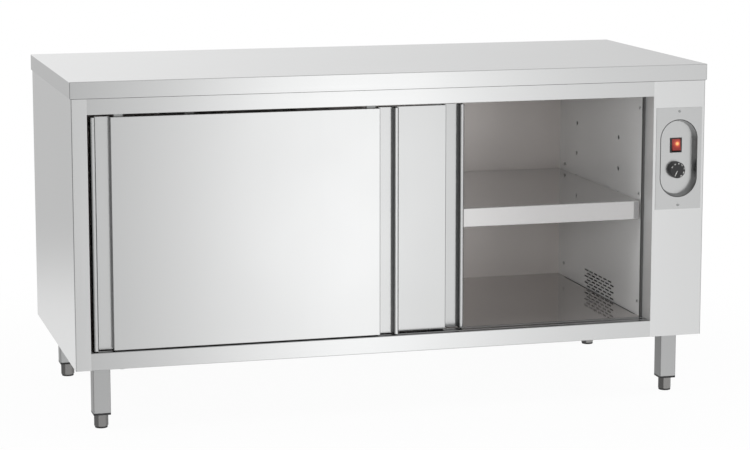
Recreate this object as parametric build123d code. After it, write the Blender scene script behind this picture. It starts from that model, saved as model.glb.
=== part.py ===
"""Plate warmer cabinet: a heated stainless cupboard on four legs with two sliding doors.

Frame: X to the right, Y to the back, Z up, origin on the floor under the cabinet's centre.
Lengths are in millimetres. Each node is written to parts/NODE.step.
"""
import math
import os

from build123d import *

# ---- overall --------------------------------------------------------------------------------
WIDTH = 1600.0
DEPTH = 700.0
HEIGHT = 845.0            # with the feet screwed right in
FIT = 0.5                 # play between sheets that slip inside each other
RUNNING_PLAY = 0.05       # between a shaft and its bore
CORNER_SHARE = 0.077      # how far a hexagon's corners stand out, as a share of its width across flats
SHEET = 1.0               # body sheet
BEND = 1.0                # inside bend radius of the body sheet
LIP = 20.0                # inward lips along the casing's edges

# ---- worktop --------------------------------------------------------------------------------
TOP_SHEET = 1.2
TURN_DOWN = 40.0
TOP_EDGE_RADIUS = 1.5
BOARD = 18.0
BODY_INSET = 3.0          # the body stands in from the worktop's edges

# ---- body -----------------------------------------------------------------------------------
BODY_BOTTOM = 155.0
STILE = 37.0
CONTROL_WIDTH = 137.0
TOP_RAIL = 39.0           # the part seen under the turn-down
BOTTOM_RAIL = 42.0
HEM = 10.0
HEM_DEPTH = 2.5
WALL_STEP = 5.0           # inner walls stand this far inside the door jambs
SEAL = 10.0
SEAL_THICK = 8.0
BACK_CAVITY = 26.0
CEILING_DROP = 23.8       # underside of the ceiling panel below the board
SLIT = 5.0                # air slit between the floor and the right wall
SLIT_FRONT = 29.0         # from the floor's front edge
SLIT_BACK = 58.0          # from the floor's back edge
INSULATION_GAP = 12.0     # keeps screw tips out of the side slab
SLAB_PLAY = 1.5

# ---- sliding doors --------------------------------------------------------------------------
DOOR_SETBACK = 4.0
DOOR_THICK = 22.0
DOOR_SPACING = 5.0
DOOR_BACK_PLAY = 2.0
DOOR_TOP_GAP = 7.0
DOOR_BOTTOM_GAP = 3.0
DOOR_END_GAP = 8.0
DOOR_OVERLAP = 100.0
REAR_DOOR_OPEN = 477.0    # how far the rear door stands open, left of its closed place
DOOR_EDGE = 0.8           # share of the skin's thickness rounded off its front edges
DOOR_SLOT = 6.0           # slot between the two skins, along the top and the bottom
SLOT_DEPTH = 16.0
HANDLE = 48.0
HANDLE_LIP = 12.0
HANDLE_LIP_RADIUS = 4.0
HANDLE_DEPTH = 18.0
HANDLE_TUCK = 8.0         # flange of the handle channel behind the door skin

# ---- door gear ------------------------------------------------------------------------------
HANGER_INSET = 68.0
HANGER_WIDTH = 22.0
HANGER_THICK = 3.0
HANGER_RISE = 10.0        # plate above the axle
ROLLER_RADIUS = 12.0
ROLLER_WIDTH = 7.0
FLANGE_RADIUS = 14.0
FLANGE_WIDTH = 1.5
AXLE_RADIUS = 4.0
AXLE_HEAD = 1.5
AXLE_HEAD_RADIUS = 5.5
GEAR_PLAY = 0.6
TRACK_SHEET = 1.5
TRACK_TOP = 2.0
TRACK_CLEARANCE = 3.5     # ledge above the opening's top edge
STOP_LENGTH = 20.0
STOP_HEIGHT = 16.0
GROOVE_WIDTH = 6.0
GROOVE_DEPTH = 8.0
GUIDE_LENGTH = 30.0
GUIDE_THICK = 4.6
GUIDE_FLOOR_PLAY = 1.5

# ---- shelf ----------------------------------------------------------------------------------
SHELF_TOP = 495.0
SHELF_SHEET = 1.2
SHELF_FLANGE = 48.0
SHELF_BACK_FLANGE = 25.0
SHELF_HEM = 12.0
SHELF_END_GAP = 5.0
SHELF_BACK_GAP = 4.0
SHELF_FRONT_GAP = 9.0     # behind the rear door
STIFFENER_WIDTH = 60.0
STIFFENER_DEPTH = 25.0
STIFFENER_FLANGE = 12.0
STIFFENER_END = 20.0
SUPPORT_PITCH = 82.0
SUPPORT_ROWS = 3          # the lowest row carries the shelf
SUPPORT_DROP = 23.0       # hole row below the shelf's top
SUPPORT_FRONT = 160.0     # hole column behind the inner wall's front edge
SUPPORT_SPAN = 308.0
SUPPORT_HOLE = 11.0
SUPPORT_PIN = 10.0
SUPPORT_REACH = 25.0
SUPPORT_WIDTH = 20.0
SUPPORT_SHEET = 2.0
SUPPORT_BELOW = 8.0
PIN_TAIL = 10.0

# ---- fasteners of the inner walls -----------------------------------------------------------
WALL_SCREW_EDGE = 12.0
WALL_SCREW_BACK = 43.0
WALL_SCREW_LOW = 36.0     # above the floor panel
WALL_SCREW_MIDDLE = 314.0
WALL_SCREW_TOP = 73.0     # below the ceiling panel
SCREW_HEAD = 8.0
SCREW_HEAD_HIGH = 2.2
SCREW_SHANK = 4.0
SCREW_HOLE = 4.4
SCREW_TAIL = 9.0
HEAD_ROUND = 0.6          # share of a screw head's height that is rounded off
CROSS_WIDTH = 0.9
CROSS_SHARE = 0.55        # of the head's width
CROSS_DEPTH = 1.1

# ---- warm air -------------------------------------------------------------------------------
GRILLE_ROWS = 6
GRILLE_ROW_PITCH = 8.6
GRILLE_SLOTS = 6
GRILLE_SLOT_PITCH = 34.0
SLOT_LENGTH = 29.0
SLOT_HEIGHT = 4.0
GRILLE_LIFT = 6.0         # lowest row above the floor panel
GRILLE_CENTRE = 5.0
WINDOW_LENGTH = 150.0     # air windows in the wall, under the floor panel
WINDOW_HEIGHT = 25.0
WINDOW_LIFT = 6.0
WINDOW_OFFSET = 150.0
DUCT_DEPTH = 80.0
DUCT_LENGTH = 470.0
DUCT_HEIGHT = 143.0
DUCT_LIFT = 2.0
FAN_SIZE = 120.0
FAN_DEPTH = 38.0
FAN_CORNER = 4.0
FAN_BORE = 114.0
FAN_OFFSET = 2.0          # off the inner wall
FAN_LIFT = 11.0
FAN_HUB = 44.0
FAN_HUB_LENGTH = 12.0
FAN_STRUT = 4.0
FAN_BLADES = 7
FAN_BLADE_THICK = 1.6
FAN_BLADE_CHORD = 18.0
FAN_BLADE_PITCH = 38.0
FAN_BLADE_ROOT = 2.0      # inside the hub
FAN_TIP_PLAY = 2.0
FAN_SHAFT = 3.0
ROTOR_LENGTH = 20.0
HEATER_RADIUS = 4.25
HEATER_PASSES = 4
HEATER_PITCH = 26.0
HEATER_LIFT = 24.0
HEATER_BEND = 12.9
HEATER_END = 45.0
HEATER_TAIL = 14.0
HEATER_OFFSET = 58.0

# ---- control plate --------------------------------------------------------------------------
PLATE_WIDTH = 122.0
PLATE_HEIGHT = 257.0
PLATE_DROP = 236.5        # centre below the worktop's top
PLATE_SHEET = 1.0
RECESS_WIDTH = 97.0
RECESS_HEIGHT = 194.0
RECESS_DEPTH = 20.0
RECESS_DRAFT = 14.0       # degrees
RECESS_PLAY = 3.0
PLATE_SCREW_PITCH = 237.0
PLATE_SCREW_HEAD = 7.0
PLATE_SCREW_HEAD_HIGH = 1.6
CONTROL_PITCH = 62.0      # between the switch and the knob

BEZEL_WIDTH = 31.0
BEZEL_HEIGHT = 37.5
BEZEL_THICK = 2.5
BEZEL_RIM_X = 4.0
BEZEL_RIM_Z = 2.4
SWITCH_NECK = 2.0         # bezel beyond the body behind it
SWITCH_DEPTH = 26.0
SWITCH_PLAY = 0.2
SWITCH_WALL = 2.0
ROCKER_WIDTH = 22.0
ROCKER_HEIGHT = 29.0
ROCKER_PIVOT = 4.0        # behind the recess floor
ROCKER_RISE = 9.0         # rocker ends in front of the pivot
ROCKER_DISH = 2.5
ROCKER_BACK = 7.25        # rocker ends behind the pivot
ROCKER_PIN = 1.5
ROCKER_PIN_REACH = 12.5   # from the rocker's middle
ROCKER_TILT = 11.0        # degrees to each side of the middle

KNOB_RADIUS = 21.0
KNOB_HEIGHT = 15.5
KNOB_TAPER = 2.5          # degrees
KNOB_GAP = 0.5
KNOB_EDGE = 1.5
KNOB_POCKET_RADIUS = 9.0
KNOB_POCKET = 5.0
SPINDLE_RADIUS = 3.0
SPINDLE_GRIP = 11.0
BUSH_RADIUS = 5.0
BUSH_LENGTH = 4.0
THERMOSTAT_SIZE = 45.0
THERMOSTAT_DEPTH = 30.0
THERMOSTAT_CORNER = 3.0
CAPILLARY_RADIUS = 1.0
CAPILLARY_BEND = 12.0
CAPILLARY_RUN = 36.0
BULB_RADIUS = 3.0
BULB_LENGTH = 90.0

# ---- wiring and mains entry -----------------------------------------------------------------
TERMINAL = (24.0, 70.0, 20.0)
TERMINAL_GAP = 55.0       # from the gland's axis to the block
WIRE_RADIUS = 3.0
WIRE_BEND = 12.0
GLAND_SIDE = 40.0         # from the body's right face
GLAND_BACK = 197.0        # from the body's back face
GLAND_THREAD = 12.5
GLAND_FLANGE = 15.0
GLAND_FLANGE_HIGH = 6.0
GLAND_DOME = 13.0
GLAND_DOME_HIGH = 14.0
GLAND_DOME_EDGE = 5.0
GLAND_BORE = 6.0
GLAND_NUT_HIGH = 5.0
GLAND_PLAY = 0.3

# ---- legs and feet --------------------------------------------------------------------------
LEG = 42.0
LEG_WALL = 1.5
LEG_CORNER = 2.0
LEG_BOTTOM = 39.0
LEG_SIDE_INSET = 50.0     # from the worktop's ends
LEG_FRONT_INSET = 47.0    # from the worktop's front and back
LEG_PLATE = 80.0
LEG_PLATE_THICK = 3.0
LEG_PLATE_SHIFT = 18.0    # towards the cabinet's middle
LEG_BOLT_PITCH = 60.0
BOLT_RADIUS = 4.0
BOLT_HOLE = 4.25
BOLT_HEAD = 5.3
BOLT_ACROSS = 13.0
BOLT_LENGTH = 14.0
NUT_HIGH = 6.5
PLUG_CAP = 5.0
PLUG_INSERT = 30.0
PLUG_PLAY = 0.1
STUD_RADIUS = 6.0
STUD_PLAY = 0.1
STUD_LENGTH = 85.0
FOOT_ACROSS = 30.0
FOOT_GAP = 0.3
FOOT_PAD_RADIUS = 15.5
FOOT_PAD_HIGH = 4.0

# ---- places worked out from the sizes -------------------------------------------------------
BODY_X = WIDTH / 2 - BODY_INSET
BODY_Y = DEPTH / 2 - BODY_INSET
FRONT = -BODY_Y
BODY_TOP = HEIGHT - TOP_SHEET - BOARD
BASE_UNDER = BODY_BOTTOM + SHEET
BASE_TOP = BASE_UNDER + SHEET
OPEN_LEFT = STILE - BODY_X
OPEN_RIGHT = BODY_X - CONTROL_WIDTH
OPEN_TOP = HEIGHT - TURN_DOWN - TOP_RAIL
OPEN_BOTTOM = BODY_BOTTOM + BOTTOM_RAIL
CEILING = BODY_TOP - CEILING_DROP
CEILING_FRONT = FRONT + 2 * SHEET

FRONT_DOOR_Y = FRONT + DOOR_SETBACK
REAR_DOOR_Y = FRONT_DOOR_Y + DOOR_THICK + DOOR_SPACING
JAMB_END = REAR_DOOR_Y + DOOR_THICK + DOOR_BACK_PLAY
WALL_FRONT = JAMB_END + SEAL
INNER_LEFT = OPEN_LEFT + WALL_STEP
INNER_RIGHT = OPEN_RIGHT - WALL_STEP
INNER_BACK = BODY_Y - SHEET - BACK_CAVITY

DOOR_LENGTH = (OPEN_RIGHT - OPEN_LEFT - 2 * DOOR_END_GAP + DOOR_OVERLAP) / 2
DOOR_LOW = OPEN_BOTTOM + DOOR_BOTTOM_GAP
DOOR_HIGH = OPEN_TOP - DOOR_TOP_GAP
FRONT_DOOR_X = OPEN_LEFT + DOOR_END_GAP
REAR_DOOR_X = OPEN_RIGHT - DOOR_END_GAP - DOOR_LENGTH - REAR_DOOR_OPEN
DOORS = {"front": (FRONT_DOOR_X, FRONT_DOOR_Y), "rear": (REAR_DOOR_X, REAR_DOOR_Y)}

LEDGE = OPEN_TOP + TRACK_CLEARANCE + TRACK_SHEET
AXLE_Z = LEDGE + ROLLER_RADIUS + RUNNING_PLAY
TRACK_X = (INNER_LEFT + FIT, INNER_RIGHT - FIT)

SHELF_X = (INNER_LEFT + SHELF_END_GAP, INNER_RIGHT - SHELF_END_GAP)
SHELF_Y = (REAR_DOOR_Y + DOOR_THICK + SHELF_FRONT_GAP, INNER_BACK - SHELF_BACK_GAP)
SUPPORT_Y = (WALL_FRONT + SUPPORT_FRONT, WALL_FRONT + SUPPORT_FRONT + SUPPORT_SPAN)
SUPPORT_Z = SHELF_TOP - SUPPORT_DROP
SCREW_Y = (WALL_FRONT + WALL_SCREW_EDGE, INNER_BACK - WALL_SCREW_BACK)
SCREW_Z = (OPEN_BOTTOM + WALL_SCREW_LOW, OPEN_BOTTOM + WALL_SCREW_MIDDLE, CEILING - WALL_SCREW_TOP)

PANEL_X = (OPEN_RIGHT + BODY_X) / 2
PLATE_CENTRE = HEIGHT - PLATE_DROP
PLATE_FRONT = FRONT - PLATE_SHEET
RECESS_FLOOR = PLATE_FRONT + RECESS_DEPTH
SWITCH_Z = PLATE_CENTRE + CONTROL_PITCH / 2
KNOB_Z = PLATE_CENTRE - CONTROL_PITCH / 2
ROCKER_Y = RECESS_FLOOR + ROCKER_PIVOT

DUCT_X = INNER_RIGHT + SHEET
DUCT_Z = (BASE_TOP + DUCT_LIFT, BASE_TOP + DUCT_LIFT + DUCT_HEIGHT)
FAN_X = DUCT_X + FAN_OFFSET
FAN_Z = BASE_TOP + FAN_LIFT + FAN_SIZE / 2
HEATER_X = DUCT_X + HEATER_OFFSET

GLAND_X = BODY_X - GLAND_SIDE
GLAND_Y = BODY_Y - GLAND_BACK
TERMINAL_Y = GLAND_Y - TERMINAL_GAP - TERMINAL[1] / 2
LEG_X = WIDTH / 2 - LEG_SIDE_INSET - LEG / 2
LEG_Y = DEPTH / 2 - LEG_FRONT_INSET - LEG / 2
LEG_PLACES = {
    "front_left": (-LEG_X, -LEG_Y), "front_right": (LEG_X, -LEG_Y),
    "back_left": (-LEG_X, LEG_Y), "back_right": (LEG_X, LEG_Y),
}
FOOT_TOP = LEG_BOTTOM - PLUG_CAP - FOOT_GAP

FRONT_PLANE = Plane(origin=(0, 0, 0), x_dir=(1, 0, 0), z_dir=(0, -1, 0))


# ---- shared shapes --------------------------------------------------------------------------
def block(x, y, z):
    """A box between a low and a high value on each axis."""
    size = Box(x[1] - x[0], y[1] - y[0], z[1] - z[0])
    return Pos(sum(x) / 2, sum(y) / 2, sum(z) / 2) * size


def around(centre, size):
    """The low and high values of a size about its centre."""
    return (centre - size / 2, centre + size / 2)


def rod(start, direction, length, radius):
    """A round bar from a point, along an axis."""
    face = Plane(origin=start, z_dir=direction) * Circle(radius)
    return extrude(face, length, dir=direction)


def hexagon_bar(start, length, across):
    """An upright hexagonal bar, flats across the given size, its corners turned off at both ends."""
    face = Plane.XY.offset(start[2]) * RegularPolygon(across / 2, 6, major_radius=False)
    bar = Pos(start[0], start[1], 0) * extrude(face, length, dir=(0, 0, 1))
    corner = across * CORNER_SHARE
    turned = rod(start, (0, 0, 1), length, across / 2 + corner)
    return bar & chamfer(turned.edges().filter_by(GeomType.CIRCLE), corner / 2, corner)


def bent_face(path, thickness, radii=None):
    """Section of a folded sheet: one face follows the path, the thickness lies on its left.

    radii holds the inside bend radius of each corner of the path.
    """
    directions = []
    for start, end in zip(path, path[1:]):
        length = math.dist(start, end)
        directions.append(((end[0] - start[0]) / length, (end[1] - start[1]) / length))
    other = []
    for index, point in enumerate(path):
        before = directions[max(index - 1, 0)]
        after = directions[min(index, len(directions) - 1)]
        share = thickness / (1 + before[0] * after[0] + before[1] * after[1])
        other.append((point[0] - (before[1] + after[1]) * share, point[1] + (before[0] + after[0]) * share))
    face = make_face(Polyline(*path, *other[::-1], close=True))
    radii = radii or [BEND] * (len(path) - 2)
    for index, radius in enumerate(radii, start=1):
        before, after = directions[index - 1], directions[index]
        turns_left = before[0] * after[1] - before[1] * after[0] > 0
        outside, inside = (path[index], other[index]) if turns_left else (other[index], path[index])
        for spot, size in ((outside, radius + thickness), (inside, radius)):
            corner = face.vertices().sort_by_distance((*spot, 0))[0]
            face = fillet(corner, size)
    return face


def along_z(face, z):
    """A plan section drawn up between two heights."""
    return extrude(Plane.XY.offset(z[0]) * face, z[1] - z[0], dir=(0, 0, 1))


def along_x(face, x):
    """A (Y, Z) section drawn out between two X values."""
    return extrude(Plane.YZ.offset(x[0]) * face, x[1] - x[0], dir=(1, 0, 0))


def along_y(face, y):
    """An (X, Z) section drawn back between two Y values."""
    return extrude(FRONT_PLANE.offset(-y[0]) * face, y[1] - y[0], dir=(0, 1, 0))


def mirrored(solid):
    return mirror(solid, about=Plane.YZ)


def group(solids):
    """Separate solids kept together as one node."""
    return Compound(children=list(solids))


def tube_through(points, radius, bend):
    """A round bar along straight runs joined by arcs."""
    path = FilletPolyline(*points, radius=bend)
    start = Plane(origin=path @ 0, z_dir=path % 0)
    return sweep(start * Circle(radius), path=path)


# ---- worktop --------------------------------------------------------------------------------
def worktop_skin():
    low = HEIGHT - TURN_DOWN
    outer = block(around(0, WIDTH), around(0, DEPTH), (low, HEIGHT))
    outer = fillet(outer.edges().filter_by(Axis.Z), TOP_EDGE_RADIUS)
    outer = fillet(outer.faces().sort_by(Axis.Z)[-1].edges(), TOP_EDGE_RADIUS)
    hollow = block(
        around(0, WIDTH - 2 * TOP_SHEET), around(0, DEPTH - 2 * TOP_SHEET), (low - FIT, HEIGHT - TOP_SHEET))
    return outer - hollow


def worktop_board():
    inset = 2 * (TOP_SHEET + FIT)
    return block(around(0, WIDTH - inset), around(0, DEPTH - inset), (BODY_TOP, BODY_TOP + BOARD))


# ---- outer casing ---------------------------------------------------------------------------
def casing_side(front_width):
    """Left-hand casing: back return, side, front and door jamb, with lips at top and bottom."""
    inner_x = front_width - BODY_X
    path = [(LIP - BODY_X, BODY_Y), (-BODY_X, BODY_Y), (-BODY_X, FRONT), (inner_x, FRONT)]
    shell = along_z(bent_face(path, SHEET), (BODY_BOTTOM, BODY_TOP))
    jamb = block((inner_x - SHEET, inner_x), (FRONT, JAMB_END), (BASE_TOP, BODY_TOP))
    shell += jamb
    for z in ((BODY_BOTTOM, BASE_UNDER), (BODY_TOP - SHEET, BODY_TOP)):
        shell += block((SHEET - BODY_X, LIP - BODY_X), (SHEET - BODY_Y, BODY_Y - SHEET), z)
        shell += block((SHEET - BODY_X, inner_x - SHEET), (SHEET - BODY_Y, LIP - BODY_Y), z)
    return shell


def left_side_outer():
    return casing_side(STILE)


def stadium(width, height):
    """An upright slot with round ends, about the control plate's centre."""
    return Pos(PANEL_X, PLATE_CENTRE) * Rot(0, 0, 90) * SlotOverall(height, width)


def right_side_outer():
    play = 2 * RECESS_PLAY
    shell = mirrored(casing_side(CONTROL_WIDTH))
    hole = stadium(RECESS_WIDTH + play, RECESS_HEIGHT + play)
    return shell - along_y(hole, (FRONT - FIT, FRONT + SHEET + FIT))


def back_outer():
    y = (BODY_Y - 2 * SHEET, BODY_Y - SHEET)
    reach = BODY_X - SHEET - BEND - FIT
    plate = block((-reach, reach), y, (BASE_UNDER, BODY_TOP - SHEET))
    lip_reach = BODY_X - LIP - FIT
    return plate + block((-lip_reach, lip_reach), (BODY_Y - LIP, y[1]), (BODY_BOTTOM, BASE_UNDER))


def top_rail():
    path = [
        (FRONT + LIP, BODY_TOP), (FRONT, BODY_TOP), (FRONT, OPEN_TOP),
        (FRONT + HEM_DEPTH, OPEN_TOP), (FRONT + HEM_DEPTH, OPEN_TOP + HEM),
    ]
    radii = [BEND, SHEET / 4, SHEET / 10]
    return along_x(bent_face(path, SHEET, radii), (OPEN_LEFT, OPEN_RIGHT))


def door_middle(door):
    return DOORS[door][1] + DOOR_THICK / 2


def bottom_rail():
    """Front rail whose top flange holds one guide groove for each door."""
    path = [(JAMB_END, OPEN_BOTTOM - HEM), (JAMB_END, OPEN_BOTTOM)]
    for door in ("rear", "front"):
        front, back = around(door_middle(door), GROOVE_WIDTH)
        path += [
            (back, OPEN_BOTTOM), (back, OPEN_BOTTOM - GROOVE_DEPTH),
            (front, OPEN_BOTTOM - GROOVE_DEPTH), (front, OPEN_BOTTOM),
        ]
    path += [(FRONT, OPEN_BOTTOM), (FRONT, BODY_BOTTOM), (FRONT + LIP, BODY_BOTTOM)]
    groove_bend = SHEET / 4
    radii = [BEND] + [groove_bend] * 8 + [BEND] * 2
    return along_x(bent_face(path, SHEET, radii), (OPEN_LEFT, OPEN_RIGHT))


def leg_plate_centre(x):
    return x - math.copysign(LEG_PLATE_SHIFT, x)


def bolts_around(x, y):
    """The four bolts of the plate over a leg."""
    for bolt_x in around(leg_plate_centre(x), LEG_BOLT_PITCH):
        for bolt_y in around(y, LEG_BOLT_PITCH):
            yield bolt_x, bolt_y


def leg_bolt_places():
    for x, y in LEG_PLACES.values():
        yield from bolts_around(x, y)


def base_panel():
    reach = BODY_X - SHEET - FIT
    z = (BASE_UNDER, BASE_TOP)
    plate = block((-reach, reach), (FRONT + SHEET + BEND + FIT, BODY_Y - 2 * SHEET - FIT), z)
    for x, y in leg_bolt_places():
        plate -= rod((x, y, z[0]), (0, 0, 1), SHEET, BOLT_HOLE)
    return plate - rod((GLAND_X, GLAND_Y, z[0]), (0, 0, 1), SHEET, GLAND_THREAD + GLAND_PLAY)


# ---- inner walls ----------------------------------------------------------------------------
def wall_screw_places():
    for y in SCREW_Y:
        for z in SCREW_Z:
            yield y, z


def inner_wall(x):
    """Right-hand inner wall with its support and screw holes."""
    path = [(x, INNER_BACK), (x, WALL_FRONT), (x + LIP - WALL_STEP, WALL_FRONT)]
    wall = along_z(bent_face(path, SHEET), (BASE_TOP, CEILING))
    for y in SUPPORT_Y:
        for row in range(SUPPORT_ROWS):
            wall -= rod((x - FIT, y, SUPPORT_Z + row * SUPPORT_PITCH), (1, 0, 0), 2 * SHEET, SUPPORT_HOLE / 2)
    for y, z in wall_screw_places():
        wall -= rod((x - FIT, y, z), (1, 0, 0), 2 * SHEET, SCREW_HOLE / 2)
    return wall


def left_side_inner():
    return mirrored(inner_wall(-INNER_LEFT))


def grille_slots():
    """Staggered rows of short slots, cut low in the right wall."""
    slots = []
    for row in range(GRILLE_ROWS):
        z = OPEN_BOTTOM + GRILLE_LIFT + row * GRILLE_ROW_PITCH
        shift = GRILLE_SLOT_PITCH / 4 * (1 if row % 2 else -1)
        for index in range(GRILLE_SLOTS):
            y = GRILLE_CENTRE + shift + (index - (GRILLE_SLOTS - 1) / 2) * GRILLE_SLOT_PITCH
            slot = Pos(y, z) * SlotOverall(SLOT_LENGTH, SLOT_HEIGHT)
            slots.append(along_x(slot, (INNER_RIGHT - FIT, INNER_RIGHT + SHEET + FIT)))
    return slots


def right_side_inner():
    wall = inner_wall(INNER_RIGHT) - grille_slots()
    z = (BASE_TOP + WINDOW_LIFT, BASE_TOP + WINDOW_LIFT + WINDOW_HEIGHT)
    for side in (-1, 1):
        window = block(
            (INNER_RIGHT - FIT, INNER_RIGHT + SHEET + FIT), around(side * WINDOW_OFFSET, WINDOW_LENGTH), z)
        wall -= window
    return wall


def back_inner():
    reach = (INNER_LEFT - WALL_STEP + FIT, INNER_RIGHT + WALL_STEP - FIT)
    return block(reach, (INNER_BACK, INNER_BACK + SHEET), (BASE_TOP, CEILING))


def floor_panel():
    x = (INNER_LEFT, INNER_RIGHT)
    y = (JAMB_END, INNER_BACK)
    plate = block(x, y, (OPEN_BOTTOM - SHEET, OPEN_BOTTOM))
    slit_y = (y[0] + SLIT_FRONT, y[1] - SLIT_BACK)
    plate -= block((x[1] - SLIT, x[1]), slit_y, (OPEN_BOTTOM - 2 * SHEET, OPEN_BOTTOM + SHEET))
    down = (BASE_TOP, OPEN_BOTTOM - SHEET)
    plate += block(x, (y[0], y[0] + SHEET), down)
    plate += block(x, (y[1] - SHEET, y[1]), down)
    return plate + block((x[0], x[0] + SHEET), y, down)


def ceiling_panel():
    x = (OPEN_LEFT + FIT, OPEN_RIGHT - FIT)
    front = CEILING_FRONT
    plate = block(x, (front, INNER_BACK + SHEET), (CEILING, CEILING + SHEET))
    return plate + block(x, (front, front + SHEET), (CEILING + SHEET, BODY_TOP - 2 * SHEET))


def insulation_slabs():
    wall_z = (BASE_TOP + SLAB_PLAY, CEILING - SLAB_PLAY)
    left_x = (SHEET + FIT - BODY_X, INNER_LEFT - SHEET - INSULATION_GAP)
    left = block(left_x, (WALL_FRONT + LIP, INNER_BACK), wall_z)
    x = (INNER_LEFT, INNER_RIGHT)
    back = block(x, (INNER_BACK + SHEET + SLAB_PLAY, BODY_Y - 2 * SHEET - SLAB_PLAY), wall_z)
    top = block(x, (FRONT + LIP + SLAB_PLAY, INNER_BACK), (CEILING + SHEET, BODY_TOP - SLAB_PLAY))
    return group([left, back, top])


def jamb_seals():
    z = (BASE_TOP, CEILING)
    y = (JAMB_END, WALL_FRONT)
    left = block((INNER_LEFT - SEAL_THICK, INNER_LEFT), y, z)
    right = block((INNER_RIGHT, INNER_RIGHT + SEAL_THICK), y, z)
    return group([left, right])


def pan_screw(point, direction, head, head_high, shank, tail):
    """A screw whose head's underside is at the point; its tail runs along the direction."""
    back = tuple(-part for part in direction)
    body = rod(point, back, head_high, head / 2)
    rims = body.edges().filter_by(GeomType.CIRCLE)
    top_rim = rims.sort_by(lambda rim: Vector(*back).dot(rim.center()))[-1]
    screw = fillet(top_rim, head_high * HEAD_ROUND) + rod(point, direction, tail, shank / 2)
    top = Plane(origin=Vector(*point) + Vector(*back) * head_high, z_dir=direction)
    for turn in (0, 90):
        slot = Rot(0, 0, turn) * Rectangle(head * CROSS_SHARE, CROSS_WIDTH)
        screw -= extrude(top * slot, CROSS_DEPTH, dir=direction)
    return screw


def wall_screws():
    screws = []
    for y, z in wall_screw_places():
        for x, way in ((INNER_LEFT, -1), (INNER_RIGHT, 1)):
            place = ((x, y, z), (way, 0, 0))
            screws.append(pan_screw(*place, SCREW_HEAD, SCREW_HEAD_HIGH, SCREW_SHANK, SCREW_TAIL))
    return group(screws)


# ---- shelf ----------------------------------------------------------------------------------
def shelf_panel():
    front, back = SHELF_Y
    path = [
        (back, SHELF_TOP - SHELF_BACK_FLANGE), (back, SHELF_TOP), (front, SHELF_TOP),
        (front, SHELF_TOP - SHELF_FLANGE), (front + SHELF_HEM, SHELF_TOP - SHELF_FLANGE),
    ]
    return along_x(bent_face(path, SHELF_SHEET), SHELF_X)


def shelf_stiffener():
    """Hat section under the middle of the shelf."""
    under = SHELF_TOP - 2 * SHELF_SHEET
    left, right = around(sum(SHELF_Y) / 2, STIFFENER_WIDTH)
    low = under - STIFFENER_DEPTH
    path = [
        (left - STIFFENER_FLANGE, under), (left, under), (left, low),
        (right, low), (right, under), (right + STIFFENER_FLANGE, under),
    ]
    return along_x(bent_face(path, SHELF_SHEET), (SHELF_X[0] + STIFFENER_END, SHELF_X[1] - STIFFENER_END))


def shelf_supports():
    """Hooks in the wall holes that carry the shelf's four corners."""
    under = SHELF_TOP - SHELF_SHEET
    hooks = []
    for y in SUPPORT_Y:
        for wall, way in ((INNER_LEFT, 1), (INNER_RIGHT, -1)):
            x = sorted((wall, wall + way * SUPPORT_REACH))
            plate_x = sorted((wall, wall + way * SUPPORT_SHEET))
            hook = block(x, around(y, SUPPORT_WIDTH), (under - SUPPORT_SHEET, under))
            hook += block(plate_x, around(y, SUPPORT_WIDTH), (SUPPORT_Z - SUPPORT_BELOW, under))
            hooks.append(hook + rod((wall, y, SUPPORT_Z), (-way, 0, 0), PIN_TAIL, SUPPORT_PIN / 2))
    return group(hooks)


# ---- doors ----------------------------------------------------------------------------------
def door_span(door):
    x = DOORS[door][0]
    return (x, x + DOOR_LENGTH)


def door_skin(door, y, inward):
    """One skin: a plate with a flange along the top and the bottom, towards the door's middle."""
    x = door_span(door)
    plate_x = x if inward < 0 else (x[0] + HANDLE, x[1] - HANDLE)
    plate = block(plate_x, sorted((y, y + inward * SHEET)), (DOOR_LOW, DOOR_HIGH))
    if inward > 0:
        front_edges = plate.faces().sort_by(Axis.Y)[0].edges()
        plate = fillet(front_edges, SHEET * DOOR_EDGE)
    notch = HANDLE + HANDLE_TUCK + SHEET
    flange_x = (x[0] + notch, x[1] - notch)
    flange_y = sorted((y + inward * SHEET, y + inward * (DOOR_THICK - DOOR_SLOT) / 2))
    plate += block(flange_x, flange_y, (DOOR_LOW, DOOR_LOW + SHEET))
    return plate + block(flange_x, flange_y, (DOOR_HIGH - SHEET, DOOR_HIGH))


def door_outer_skin(door):
    return door_skin(door, DOORS[door][1], 1)


def door_inner_skin(door):
    return door_skin(door, DOORS[door][1] + DOOR_THICK, -1)


def handle_section(x, y, way):
    """Plan section of a handle channel, from the door's end at x towards its middle."""
    floor = y + HANDLE_DEPTH
    path = [
        (x, y + DOOR_THICK - SHEET), (x, y), (x + HANDLE_LIP, y), (x + HANDLE_LIP, floor),
        (x + HANDLE, floor), (x + HANDLE, y + SHEET), (x + HANDLE + HANDLE_TUCK, y + SHEET),
    ]
    lip_bend = HANDLE_LIP_RADIUS - SHEET
    tight = SHEET / 2
    face = bent_face(path, SHEET, [lip_bend, lip_bend, tight, tight, tight])
    return face if way > 0 else mirror(face, about=Plane.YZ.offset(x))


def door_handle(door, side):
    x = door_span(door)[0 if side == "left" else 1]
    way = 1 if side == "left" else -1
    return along_z(handle_section(x, DOORS[door][1], way), (DOOR_LOW, DOOR_HIGH))


def door_core(door):
    x = door_span(door)
    y = DOORS[door][1]
    inset = HANDLE + HANDLE_TUCK + SHEET + FIT
    return block(
        (x[0] + inset, x[1] - inset), (y + SHEET, y + DOOR_THICK - SHEET),
        (DOOR_LOW + SLOT_DEPTH, DOOR_HIGH - SLOT_DEPTH))


def hanger_places(door):
    x = door_span(door)
    return (x[0] + HANGER_INSET, x[1] - HANGER_INSET)


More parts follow.
